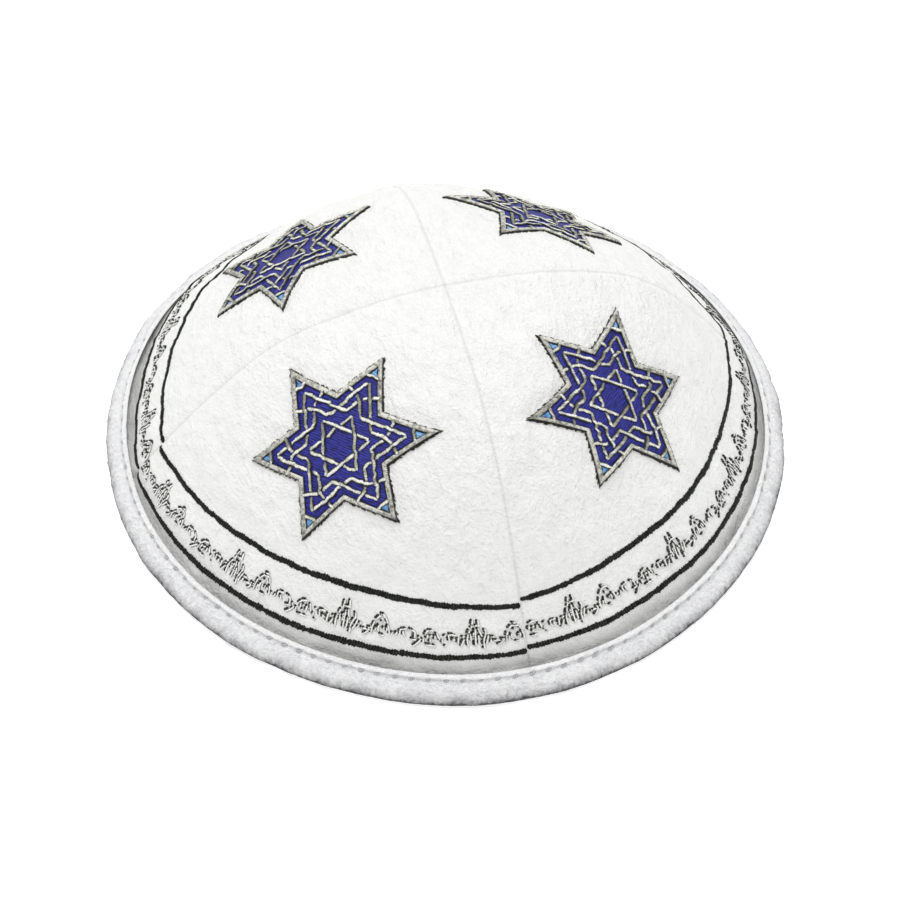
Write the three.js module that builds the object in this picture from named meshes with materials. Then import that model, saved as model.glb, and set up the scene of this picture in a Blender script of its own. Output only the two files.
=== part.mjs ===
// A four-panel suede skullcap resting on its bound rim.
// Millimetres, +Z up. The origin is on the table under the middle of the cap, and the front seam points along -Y.
import * as THREE from 'three';
import { mergeVertices } from 'three/addons/utils/BufferGeometryUtils.js';

// Driving dimensions of the cap
const rimRadius = 84.3; // from the cap's axis to where a panel's outer face would meet the table
const crownHeight = 52.9; // outer face of the crown above the table
const sideSlope = THREE.MathUtils.degToRad(53.4); // steepness of the panels at the rim
const clothWall = 1.6; // thickness of the lined suede
const seamGap = 0.3; // between neighbouring panels
const fitGap = 0.3; // between pieces that are sewn one on the other

// The rim binding, a tape folded round the lower edge of the panels
const bindingHeight = 6.0; // top of the outer fold above the table
const bindingDepth = 2.6; // how far the padded outer fold stands out, measured level
const innerFoldHeight = 5.2;
const tapeWall = 1.2;

// The stars, one embroidered on each panel
const starTipRadius = 23.7;
const starNotchRadius = 12.7;
const starEdgeWidth = 1.8;
const starEdgeHeight = 1.3;
const starFieldHeight = 0.9;
const starPlace = 0.478; // share of the way from the crown to the foot, along the middle of the panel
const starAside = -0.7; // star centre off the middle of its panel, along the rim
const starTurn = THREE.MathUtils.degToRad(1.0);

// The two border lines on each panel
const upperLineHeight = 19.0; // above the table
const lowerLineHeight = 9.3;
const lineWidth = 1.3;
const lineThickness = 0.8;
const lineEndMargin = 0.5; // from a line's end to its seam

// How finely the curved faces are divided
const panelRows = 14;
const panelColumns = 14;
const bindingSteps = 80;
const lineSteps = 16;
const starStepsPerEdge = 2;
const starFieldRings = 3;

// The cap's form at its four seams and at the middle of its four panels, going round from the front seam towards +X.
// All three are shares of rimRadius: the foot of the panel, how far the crown runs out level before it turns down,
// and how far the side runs up straight before it turns in.
const meridians = [
  { place: 'front seam', rim: 1.01, crown: 0.57, side: 0.62 },
  { place: 'front right panel', rim: 1.0, crown: 0.41, side: 0.67 },
  { place: 'right seam', rim: 1.0, crown: 0.63, side: 0.61 },
  { place: 'back right panel', rim: 0.99, crown: 0.41, side: 0.54 },
  { place: 'back seam', rim: 0.99, crown: 0.55, side: 0.57 },
  { place: 'back left panel', rim: 1.01, crown: 0.37, side: 0.6 },
  { place: 'left seam', rim: 0.99, crown: 0.48, side: 0.47 },
  { place: 'front left panel', rim: 0.99, crown: 0.41, side: 0.71 },
];

// Each panel with the heights of its border lines at its first seam, its middle and its last seam,
// as shares of upperLineHeight and lowerLineHeight. The panels were sewn a little out of line.
const panels = [
  { name: 'front_right', upper: [0.99, 1.03, 0.84], lower: [1.02, 1.0, 0.76] },
  { name: 'back_right', upper: [0.79, 0.98, 0.86], lower: [0.8, 0.98, 0.88] },
  { name: 'back_left', upper: [0.88, 1.06, 0.84], lower: [0.89, 0.99, 0.84] },
  { name: 'front_left', upper: [0.79, 1.01, 0.93], lower: [0.76, 0.95, 0.95] },
];

// The outside of the binding from the table up to its lip: shares of bindingHeight upwards,
// and of bindingDepth outwards from the panel's outer face at the same height.
const bindingOutside = [
  { rise: 0, out: -0.05 },
  { rise: 0.08, out: 0.35 },
  { rise: 0.24, out: 0.75 },
  { rise: 0.45, out: 0.98 },
  { rise: 0.64, out: 1.0 },
  { rise: 0.8, out: 0.86 },
  { rise: 0.875, out: 0.66 }, // groove of the stitches
  { rise: 0.94, out: 0.8 }, // raised lip
  { rise: 1.0, out: 0.62 },
];

// The rounded section of an embroidered line: shares of half its width across and of its thickness up.
const lineSection = [
  { across: -1, up: 0 },
  { across: -0.8, up: 0.7 },
  { across: 0, up: 1 },
  { across: 0.8, up: 0.7 },
  { across: 1, up: 0 },
];

const quarterTurn = Math.PI / 2;
const mix = THREE.MathUtils.lerp;

// The outer face's profile at an azimuth, counted from the front seam towards +X, as radius and height.
// A panel swells away from its seams as a sine, which leaves a crease at each seam. The rim itself has no crease.
function profileAt(azimuth) {
  const place = (((azimuth / (2 * Math.PI)) % 1) + 1) % 1 * meridians.length;
  const step = Math.floor(place);
  const onward = place - step;
  const startsAtSeam = step % 2 === 0;
  const before = meridians[step % meridians.length];
  const after = meridians[(step + 1) % meridians.length];
  const [seam, middle] = startsAtSeam ? [before, after] : [after, before];
  const swell = Math.sin((startsAtSeam ? onward : 1 - onward) * quarterTurn);
  const rim = rimRadius * mix(seam.rim, middle.rim, swell ** 2);
  const crown = rimRadius * mix(seam.crown, middle.crown, swell);
  const side = rimRadius * mix(seam.side, middle.side, swell);
  return new THREE.CubicBezierCurve(
    new THREE.Vector2(0, crownHeight),
    new THREE.Vector2(crown, crownHeight),
    new THREE.Vector2(rim - side * Math.cos(sideSlope), side * Math.sin(sideSlope)),
    new THREE.Vector2(rim, 0),
  );
}

// The point at a level radius and a height on the meridian of an azimuth.
function onMeridian(azimuth, radius, height) {
  return new THREE.Vector3(radius * Math.sin(azimuth), -radius * Math.cos(azimuth), height);
}

// A point of the outer face at share t of its profile, lifted off the cloth (inwards when lift is negative).
function skinPoint(azimuth, t, lift) {
  const profile = profileAt(azimuth);
  const point = profile.getPoint(t);
  const along = profile.getTangent(t);
  return onMeridian(azimuth, point.x - lift * along.y, point.y + lift * along.x);
}

// The share of the profile at which the outer face lies at a height, found by halving.
function shareAtHeight(azimuth, height) {
  const profile = profileAt(azimuth);
  let low = 0;
  let high = 1;
  for (let halving = 0; halving < 40; halving += 1) {
    const middle = (low + high) / 2;
    if (profile.getPoint(middle).y > height) low = middle;
    else high = middle;
  }
  return (low + high) / 2;
}

// A closed body from points and triangles: points that coincide are merged, triangles that collapse are dropped,
// and all faces are turned outwards.
function closedBody(points, triangles) {
  const loose = new THREE.BufferGeometry().setFromPoints(points);
  loose.setIndex(triangles.flat());
  const merged = mergeVertices(loose, 1e-4);
  const position = merged.getAttribute('position');
  const index = merged.getIndex().array;
  const kept = [];
  let volume = 0;
  const [a, b, c] = [new THREE.Vector3(), new THREE.Vector3(), new THREE.Vector3()];
  for (let at = 0; at < index.length; at += 3) {
    const [i, j, k] = [index[at], index[at + 1], index[at + 2]];
    if (i === j || j === k || k === i) continue;
    kept.push([i, j, k]);
    a.fromBufferAttribute(position, i);
    b.fromBufferAttribute(position, j);
    c.fromBufferAttribute(position, k);
    volume += a.dot(b.cross(c));
  }
  merged.setIndex(kept.flatMap(([i, j, k]) => (volume < 0 ? [i, k, j] : [i, j, k])));
  merged.computeVertexNormals();
  return merged;
}

// The two triangles of a four-cornered patch.
function patch(a, b, c, d) {
  return [[a, b, c], [a, c, d]];
}

// A sheet with a thickness: its outer and inner faces as rows of points, and its open edges closed by strips.
// The first row may shrink to a point. With wraps, the last column joins the first.
function sheetBody(outer, inner, wraps) {
  const rows = outer.length;
  const columns = outer[0].length;
  const id = (face, row, column) => (face * rows + row) * columns + (column % columns);
  const triangles = [];
  const lastColumn = wraps ? columns : columns - 1;
  for (let row = 0; row + 1 < rows; row += 1) {
    for (let column = 0; column < lastColumn; column += 1) {
      for (const face of [0, 1]) {
        const corners = [id(face, row, column), id(face, row + 1, column),
          id(face, row + 1, column + 1), id(face, row, column + 1)];
        triangles.push(...patch(...(face === 0 ? corners : corners.reverse())));
      }
    }
    if (!wraps) {
      triangles.push(...patch(id(0, row, 0), id(1, row, 0), id(1, row + 1, 0), id(0, row + 1, 0)));
      const end = columns - 1;
      triangles.push(...patch(id(0, row, end), id(0, row + 1, end), id(1, row + 1, end), id(1, row, end)));
    }
  }
  const bottom = rows - 1;
  for (let column = 0; column < lastColumn; column += 1) {
    triangles.push(...patch(id(0, bottom, column), id(1, bottom, column),
      id(1, bottom, column + 1), id(0, bottom, column + 1)));
  }
  return closedBody([...outer.flat(), ...inner.flat()], triangles);
}

// A section carried along a path: one loop of points for each place on the path, capped at both ends unless it is
// a ring.
function sweptBody(sections, isRing) {
  const size = sections[0].length;
  const id = (section, corner) => (section % sections.length) * size + (corner % size);
  const triangles = [];
  const lastSection = isRing ? sections.length : sections.length - 1;
  for (let section = 0; section < lastSection; section += 1) {
    for (let corner = 0; corner < size; corner += 1) {
      triangles.push(...patch(id(section, corner), id(section, corner + 1),
        id(section + 1, corner + 1), id(section + 1, corner)));
    }
  }
  if (!isRing) {
    for (let corner = 1; corner + 1 < size; corner += 1) {
      triangles.push([id(0, 0), id(0, corner + 1), id(0, corner)]);
      triangles.push([id(sections.length - 1, 0), id(sections.length - 1, corner), id(sections.length - 1, corner + 1)]);
    }
  }
  return closedBody(sections.flat(), triangles);
}

function range(count) {
  return Array.from({ length: count }, (_, index) => index);
}

// One crown panel: a quarter of the cloth wall from the crown down into the fold of the binding.
function panelBody(startAzimuth) {
  const hemHeight = tapeWall + fitGap + clothWall * Math.cos(sideSlope);
  const face = (lift) => range(panelRows + 1).map((row) =>
    range(panelColumns + 1).map((column) => {
      const azimuth = startAzimuth + quarterTurn * (column / panelColumns);
      const hem = shareAtHeight(azimuth, hemHeight);
      return skinPoint(azimuth, hem * (row / panelRows), lift);
    }));
  return sheetBody(face(0), face(-clothWall), false);
}

// A border line on a panel, whose height follows a parabola through its three shares of a height.
function lineBody(startAzimuth, shares, height) {
  const [first, middle, last] = shares;
  const bulge = middle - (first + last) / 2;
  const margin = lineEndMargin / (rimRadius * quarterTurn);
  const sections = range(lineSteps + 1).map((step) => {
    const along = mix(margin, 1 - margin, step / lineSteps);
    const azimuth = startAzimuth + quarterTurn * along;
    const centre = height * (mix(first, last, along) + bulge * 4 * along * (1 - along));
    return lineSection.map(({ across, up }) => {
      const level = centre + across * (lineWidth / 2) * Math.sin(sideSlope);
      return skinPoint(azimuth, shareAtHeight(azimuth, level), fitGap + up * lineThickness);
    });
  });
  return sweptBody(sections, false);
}

// The outline of a six-pointed star as radius and angle, moved in from its edges by an inset,
// with its straight edges divided into steps.
function starOutline(inset) {
  const halfArm = Math.PI / 6;
  const tipAngle = Math.atan2(starNotchRadius * Math.sin(halfArm), starTipRadius - starNotchRadius * Math.cos(halfArm));
  const notchAngle = Math.PI - halfArm - tipAngle;
  const tip = starTipRadius - inset / Math.sin(tipAngle);
  const notch = starNotchRadius - inset / Math.sin(notchAngle);
  const corners = range(12).map((corner) => {
    const radius = corner % 2 === 0 ? tip : notch;
    return new THREE.Vector2(0, radius).rotateAround(new THREE.Vector2(), corner * halfArm + starTurn);
  });
  return corners.flatMap((corner, at) => range(starStepsPerEdge).map((step) =>
    corner.clone().lerp(corners[(at + 1) % corners.length], step / starStepsPerEdge)));
}

// Where a point of the flat star lies on its panel: y runs up the panel's middle and x along the rim.
function onPanel(startAzimuth, flat, lift) {
  const middle = startAzimuth + quarterTurn / 2;
  const profile = profileAt(middle);
  const distance = starPlace * profile.getLength() - flat.y;
  const t = profile.getUtoTmapping(0, distance);
  const radius = profile.getPoint(t).x;
  return skinPoint(middle + (flat.x + starAside) / radius, t, lift);
}

// The raised silver edge of a star, a rounded section carried round the star's outline.
function starEdgeBody(startAzimuth) {
  const rings = lineSection.map(({ across, up }) => ({
    outline: starOutline(((across + 1) / 2) * starEdgeWidth),
    lift: fitGap + up * starEdgeHeight,
  }));
  const sections = range(rings[0].outline.length).map((at) =>
    rings.map(({ outline, lift }) => onPanel(startAzimuth, outline[at], lift)));
  return sweptBody(sections, true);
}

// The blue field inside the edge, in rings from its centre outwards.
function starFieldBody(startAzimuth) {
  const outline = starOutline(starEdgeWidth + fitGap);
  const face = (lift) => range(starFieldRings + 1).map((ring) =>
    outline.map((point) => onPanel(startAzimuth, point.clone().multiplyScalar(ring / starFieldRings), lift)));
  return sheetBody(face(fitGap + starFieldHeight), face(fitGap), true);
}

// The binding: the tape runs up the outside as a padded roll, under the panels' hem and up the inside.
function bindingBody() {
  const level = (thickness) => thickness / Math.sin(sideSlope);
  const faceAt = (height) => -height / Math.tan(sideSlope);
  const outerGap = level(fitGap + seamGap / 2);
  const innerGap = level(clothWall + fitGap);
  const innerFold = innerGap + level(tapeWall);
  const section = [
    ...bindingOutside.map(({ rise, out }) => [faceAt(rise * bindingHeight) + out * bindingDepth, rise * bindingHeight]),
    [faceAt(bindingHeight) + outerGap, bindingHeight],
    [faceAt(tapeWall) + outerGap, tapeWall],
    [faceAt(tapeWall) - innerGap, tapeWall],
    [faceAt(innerFoldHeight) - innerGap, innerFoldHeight],
    [faceAt(innerFoldHeight) - innerFold, innerFoldHeight],
    [faceAt(tapeWall) - innerFold, tapeWall],
    [faceAt(tapeWall / 2) - innerFold, 0],
  ];
  const sections = range(bindingSteps).map((step) => {
    const azimuth = 2 * Math.PI * (step / bindingSteps);
    const foot = profileAt(azimuth).v3.x;
    return section.map(([out, height]) => onMeridian(azimuth, foot + out, height));
  });
  return sweptBody(sections, true);
}

const suede = { color: '#f3f2ee', roughness: 0.95, metalness: 0 };
const velour = { color: '#f1f1f4', roughness: 1, metalness: 0 };
const silverThread = { color: '#a9a89d', roughness: 0.5, metalness: 0.1 };
const blueThread = { color: '#2b2a8e', roughness: 0.55, metalness: 0 };
const darkThread = { color: '#2a2c27', roughness: 0.6, metalness: 0 };

function piece(name, geometry, finish) {
  const mesh = new THREE.Mesh(geometry, new THREE.MeshStandardMaterial(finish));
  mesh.name = name;
  return mesh;
}

const skullcap = new THREE.Group();
panels.forEach(({ name, upper, lower }, at) => {
  const start = at * quarterTurn;
  const quarter = new THREE.Group();
  // Each quarter stands half a seam gap off both of its seams.
  quarter.position.copy(onMeridian(start + quarterTurn / 2, (seamGap / 2) * Math.SQRT2, 0));
  quarter.add(piece(`panel_${name}`, panelBody(start), suede));
  quarter.add(piece(`star_edge_${name}`, starEdgeBody(start), silverThread));
  quarter.add(piece(`star_field_${name}`, starFieldBody(start), blueThread));
  quarter.add(piece(`upper_line_${name}`, lineBody(start, upper, upperLineHeight), darkThread));
  quarter.add(piece(`lower_line_${name}`, lineBody(start, lower, lowerLineHeight), darkThread));
  skullcap.add(quarter);
});
skullcap.add(piece('rim_binding', bindingBody(), velour));

export default skullcap;
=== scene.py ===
"""A white suede skullcap with embroidered stars, dressed over its CAD frame and seen from above its front."""
import math

import bmesh
import bpy
import numpy as np
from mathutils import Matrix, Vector


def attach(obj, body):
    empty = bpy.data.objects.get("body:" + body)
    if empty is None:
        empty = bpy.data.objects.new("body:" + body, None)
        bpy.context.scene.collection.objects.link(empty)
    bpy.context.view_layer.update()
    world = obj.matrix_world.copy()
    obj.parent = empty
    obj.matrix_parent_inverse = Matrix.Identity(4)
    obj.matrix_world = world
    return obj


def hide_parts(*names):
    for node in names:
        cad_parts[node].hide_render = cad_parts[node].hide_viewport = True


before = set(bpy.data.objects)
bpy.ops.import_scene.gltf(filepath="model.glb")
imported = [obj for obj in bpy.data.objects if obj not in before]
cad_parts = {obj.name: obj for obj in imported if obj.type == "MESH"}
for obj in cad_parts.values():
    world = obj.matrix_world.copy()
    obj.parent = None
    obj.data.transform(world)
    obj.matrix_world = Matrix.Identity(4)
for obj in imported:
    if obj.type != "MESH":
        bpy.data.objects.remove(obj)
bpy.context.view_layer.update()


# The crown is four panels of white suede, sewn edge to edge with the allowances turned in. So the cloth dips
# along each seam, swells between the seams and puckers where it was embroidered. The seams meet at the top.
QUARTERS = ("front_right", "back_right", "back_left", "front_left")
RIM_RADIUS = 84.3
CROWN_HEIGHT = 52.9
SIDE_SLOPE = math.radians(53.4)
CLOTH_WALL = 1.6
HEM_HEIGHT = 2.46
QUARTER_TURN = math.pi / 2

# The foot, the level run of the crown and the straight run of the side, as shares of the rim radius,
# at each seam and at the middle of each panel, from the front seam round past the right.
MERIDIANS = np.array([
    (1.01, 0.57, 0.62), (1.0, 0.41, 0.67), (1.0, 0.63, 0.61), (0.99, 0.41, 0.54),
    (0.99, 0.55, 0.57), (1.01, 0.37, 0.60), (0.99, 0.48, 0.47), (0.99, 0.41, 0.71),
])

# Heights of the border lines above the table, and the shares of them at which each line meets its first seam,
# the middle of its panel and its last seam.
UPPER_LINE_HEIGHT = 19.0
LOWER_LINE_HEIGHT = 9.3
UPPER_LINES = np.array([(0.99, 1.03, 0.84), (0.79, 0.98, 0.86), (0.88, 1.06, 0.84), (0.79, 1.01, 0.93)])
LOWER_LINES = np.array([(1.02, 1.0, 0.76), (0.80, 0.98, 0.88), (0.89, 0.99, 0.84), (0.76, 0.95, 0.95)])

# Where a star lies on its panel, as a share of the way from the crown to the foot and in millimetres aside,
# how far its tips and notches reach, and the share to which the cloth's pull narrows it along the rim.
STAR_PLACE = 0.478
STAR_ASIDE = -0.7
STAR_TURN = math.radians(1.0)
STAR_TIP = 24.0
STAR_NOTCH = 13.3
STAR_NARROWING = 0.968

# How far the sewn cloth dips or rises off the smooth face, and how widely: along the seams, over the
# allowances beside them, under and round the stars, along the border lines and above the hem.
SEAM_HALF_GAP = 0.01
SEAM_DIP = 0.3
SEAM_DIP_WIDTH = 1.0
MEETING_RADIUS = 2.5
MEETING_LOSS = 0.7
ALLOWANCE_RISE = 0.22
ALLOWANCE_PLACE = 2.6
ALLOWANCE_WIDTH = 2.75
STAR_SINK = 1.2
STAR_SINK_RADIUS = 30
STAR_RIM_DIP = 0.22
STAR_RIM_PLACE = 0.9
STAR_RIM_WIDTH = 1.5
LINE_DIP = 0.14
LINE_DIP_WIDTH = 1.6
HEM_DIP = 0.7
HEM_DIP_HEIGHT = 6.0
HEM_DIP_WIDTH = 1.3

# Waves of the cloth, by height, length and seed, held down round the crown, by the stars and, for the dents,
# by the seams. The pulled waves run aslant.
BROAD_WAVES = (0.34, 31, 3)
PULLED_WAVES = (0.09, 4.6, 11)
DENTS = (0.16, 11, 4)
FINE_DENTS = (0.05, 2.6, 12)
WAVE_COUNT = 14
WAVE_REACH = 3.7
PULL = np.array([[0.9, 0.3, -0.5], [0.3, 0.9, 0.4], [0.25, 0.2, 0.5]])
CROWN_RADIUS = 9
HELD_MARGIN = 3


def meridian(azimuth, share):
    """Radius, height and their slopes at a share of a meridian, a Bezier curve from the crown to the foot.

    From a seam to a panel's middle its three lengths change as the sine of the way, the foot as its square.
    """
    place = (azimuth / math.tau) % 1 * len(MERIDIANS)
    step = np.floor(place).astype(int)
    onward = place - step
    leaves_seam = step % 2 == 0
    before = MERIDIANS[step % len(MERIDIANS)]
    after = MERIDIANS[(step + 1) % len(MERIDIANS)]
    seam = np.where(leaves_seam[..., None], before, after)
    middle = np.where(leaves_seam[..., None], after, before)
    swell = np.sin(np.where(leaves_seam, onward, 1 - onward) * QUARTER_TURN)
    blend = np.stack([swell**2, swell, swell], axis=-1)
    rim, crown, side = np.moveaxis(RIM_RADIUS * (seam + (middle - seam) * blend), -1, 0)
    top = 0 * rim + CROWN_HEIGHT
    radii = np.stack([0 * rim, crown, rim - side * math.cos(SIDE_SLOPE), rim])
    heights = np.stack([top, top, side * math.sin(SIDE_SLOPE), 0 * rim])
    rest = 1 - share
    weights = np.stack([rest**3, 3 * share * rest**2, 3 * share**2 * rest, share**3])
    slopes = 3 * np.stack([-(rest**2), rest**2 - 2 * share * rest, 2 * share * rest - share**2, share**2])
    return [(factors * lengths).sum(0) for factors in (weights, slopes) for lengths in (radii, heights)]


def round_middle(radius, azimuth, height):
    """Points at a radius and a height, turned round the cap's middle from its front towards its right."""
    return np.stack([radius * np.sin(azimuth), -radius * np.cos(azimuth), height], axis=-1)


def skin(azimuth, share, lift):
    """Points of the smooth outer face, lifted off it at right angles within the meridian's plane."""
    radius, height, out, down = meridian(azimuth, share)
    length = np.hypot(out, down)
    radius = radius - lift * down / length
    return round_middle(radius, azimuth, height + lift * out / length)


HALVINGS = 26
MIDDLE_STEPS = 600


def share_at_height(azimuth, height):
    """The share of each meridian at which it comes down to a height, found by halving again and again."""
    low = np.zeros_like(azimuth)
    high = np.ones_like(azimuth)
    for _ in range(HALVINGS):
        middle = (low + high) / 2
        above = meridian(azimuth, middle)[1] > height
        low = np.where(above, middle, low)
        high = np.where(above, high, middle)
    return (low + high) / 2


def middle_of(quarter):
    """Shares, distances from the crown and radii along the meridian in the middle of a quarter."""
    share = np.linspace(0, 1, MIDDLE_STEPS)
    radius, height, _, _ = meridian(np.full(MIDDLE_STEPS, (quarter + 0.5) * QUARTER_TURN), share)
    steps = np.hypot(np.diff(radius), np.diff(height))
    return share, np.concatenate([[0], np.cumsum(steps)]), radius


def line_height(quarter, along, lines, height):
    """The height of a border line: a parabola through its heights at the seams and the middle."""
    first, middle, last = lines[quarter]
    return height * (first + (last - first) * along + (middle - (first + last) / 2) * 4 * along * (1 - along))


def star_distance(flat):
    """How far flat points lie outside a star's edge, negative inside: its twelve edges folded onto one."""
    angle = np.arctan2(flat[..., 1], flat[..., 0]) - STAR_TURN
    folded = np.abs((angle % (math.pi / 3)) - math.pi / 6)
    radius = np.hypot(flat[..., 0], flat[..., 1])
    run = np.array([STAR_NOTCH * math.cos(math.pi / 6) - STAR_TIP, STAR_NOTCH / 2])
    run /= np.hypot(*run)
    return run[1] * (radius * np.cos(folded) - STAR_TIP) - run[0] * radius * np.sin(folded)


def waves(points, size, seed_step=0):
    """Smooth waves in and out of a surface: sine waves of one length, in random directions, added up."""
    height, length, seed = size
    random = np.random.default_rng(seed + seed_step)
    ways = random.normal(size=(WAVE_COUNT, 3))
    ways *= math.tau / (length * np.linalg.norm(ways, axis=1, keepdims=True))
    total = np.sin(points @ ways.T + random.uniform(0, math.tau, WAVE_COUNT)).sum(-1)
    return height * (total / WAVE_REACH)


def hump(distance, width):
    """A bell that is 1 at no distance and about a third at the width: e to the minus square of the ratio."""
    return np.exp(-((distance / width) ** 2))


def relief(quarter, azimuth, share):
    """How far the sewn cloth stands off the smooth face: its dips, rises and waves, added up.

    The stiff embroidery flattens the cloth under a star and round it.
    """
    points = skin(azimuth, share, 0)
    height = points[..., 2]
    radius = np.hypot(points[..., 0], points[..., 1])
    along = azimuth / QUARTER_TURN - quarter
    from_seam = np.minimum(along, 1 - along) * QUARTER_TURN * radius
    from_upper = height - line_height(quarter, along, UPPER_LINES, UPPER_LINE_HEIGHT)
    from_lower = height - line_height(quarter, along, LOWER_LINES, LOWER_LINE_HEIGHT)
    shares, distances, radii = middle_of(quarter)
    aside = (along - 0.5) * QUARTER_TURN * np.interp(share, shares, radii)
    across = (aside - STAR_ASIDE) / STAR_NARROWING
    up = STAR_PLACE * distances[-1] - np.interp(share, shares, distances)
    from_star = star_distance(np.stack([across, up], axis=-1))
    flattened = np.clip(1 - (across**2 + up**2) / STAR_SINK_RADIUS**2, 0, 1) ** 2
    off_crown = 1 - hump(radius, CROWN_RADIUS)
    off_seam = 1 - hump(from_seam, HELD_MARGIN)
    free = np.clip(from_star / HELD_MARGIN, 0, 1) * off_crown
    return (
        -SEAM_DIP * hump(from_seam, SEAM_DIP_WIDTH) * (1 - MEETING_LOSS * hump(radius, MEETING_RADIUS))
        + ALLOWANCE_RISE * hump(from_seam - ALLOWANCE_PLACE, ALLOWANCE_WIDTH) * off_crown
        - STAR_SINK * flattened
        - STAR_RIM_DIP * hump(from_star - STAR_RIM_PLACE, STAR_RIM_WIDTH)
        - LINE_DIP * (hump(from_upper, LINE_DIP_WIDTH) + hump(from_lower, LINE_DIP_WIDTH))
        - HEM_DIP * hump(height - HEM_DIP_HEIGHT, HEM_DIP_WIDTH)
        + free * (waves(points, BROAD_WAVES) + waves(points @ PULL, PULLED_WAVES))
        + free * off_seam * (waves(points, DENTS, quarter) + waves(points, FINE_DENTS))
    )


def cloth(quarter, azimuth, share, lift):
    """Points of a panel's outer face with its dips, rises and waves, lifted off it and clear of the seams."""
    points = skin(azimuth, share, lift + relief(quarter, azimuth, share))
    middle = (quarter + 0.5) * QUARTER_TURN
    aside = SEAM_HALF_GAP * math.sqrt(2) * np.array([math.sin(middle), -math.cos(middle), 0])
    return points + aside


MERGE_DISTANCE = 1e-6


def grid_piece(name, grids):
    """A piece of four-sided faces between neighbouring rows and columns of points, given in millimetres.

    Each grid is its points and their two pattern coordinates. Points that meet are merged, which closes seams
    and poles, and all faces are then turned outwards.
    """
    corners = []
    faces = []
    patterns = []
    start = 0
    for points, pattern in grids:
        rows, columns = points.shape[:2]
        ids = start + np.arange(rows * columns).reshape(rows, columns)
        around = [ids[:-1, :-1], ids[1:, :-1], ids[1:, 1:], ids[:-1, 1:]]
        faces.append(np.stack(around, axis=-1).reshape(-1, 4))
        corners.append(points.reshape(-1, 3) / 1000)
        patterns.append(pattern.reshape(-1, 2))
        start += rows * columns
    corners = np.concatenate(corners)
    faces = np.concatenate(faces)
    mesh = bpy.data.meshes.new(name)
    mesh.vertices.add(len(corners))
    mesh.vertices.foreach_set("co", corners.ravel())
    mesh.loops.add(faces.size)
    mesh.loops.foreach_set("vertex_index", faces.ravel())
    mesh.polygons.add(len(faces))
    mesh.polygons.foreach_set("loop_start", np.arange(0, faces.size, 4))
    mesh.update(calc_edges=True)
    mesh.uv_layers.new(name="pattern").data.foreach_set("uv", np.concatenate(patterns)[faces].ravel())
    loose = bmesh.new()
    loose.from_mesh(mesh)
    bmesh.ops.remove_doubles(loose, verts=loose.verts, dist=MERGE_DISTANCE)
    bmesh.ops.recalc_face_normals(loose, faces=loose.faces)
    loose.to_mesh(mesh)
    loose.free()
    mesh.polygons.foreach_set("use_smooth", np.ones(len(mesh.polygons), dtype=bool))
    piece = bpy.data.objects.new(name, mesh)
    bpy.context.scene.collection.objects.link(piece)
    return piece


def fasten(piece, finish, slot, *nodes):
    """Gives a piece its material, lets it ride on the cap, and stands it in for CAD nodes. The slot is not
    used.
    """
    piece.data.materials.append(finish.material)
    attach(piece, "root")
    if nodes:
        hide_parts(*nodes)


class Wire:
    """A socket's value in shader maths: each operator on it adds one Math node."""

    def __init__(self, finish, socket):
        self.finish = finish
        self.socket = socket

    def maths(self, operation, first, second=0.0):
        return self.finish.node("ShaderNodeMath", {"operation": operation}, {0: first, 1: second})

    def __add__(self, other):
        return self.maths("ADD", self, other)

    def __radd__(self, other):
        return self.maths("ADD", other, self)

    def __sub__(self, other):
        return self.maths("SUBTRACT", self, other)

    def __rsub__(self, other):
        return self.maths("SUBTRACT", other, self)

    def __mul__(self, other):
        return self.maths("MULTIPLY", self, other)

    def __rmul__(self, other):
        return self.maths("MULTIPLY", other, self)

    def __pow__(self, other):
        return self.maths("POWER", self, other)

    def sine(self):
        return self.maths("SINE", self)

    def ridges(self):
        """A rounded ridge, from 0 up to 1 and back, for each turn of an angle."""
        return (self.sine() + 1) * 0.5

    def within(self, low, high):
        """0 below low, 1 above high, and a straight rise between."""
        values = {"Value": self, "From Min": low, "From Max": high}
        return self.finish.node("ShaderNodeMapRange", {"clamp": True}, values)


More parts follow.
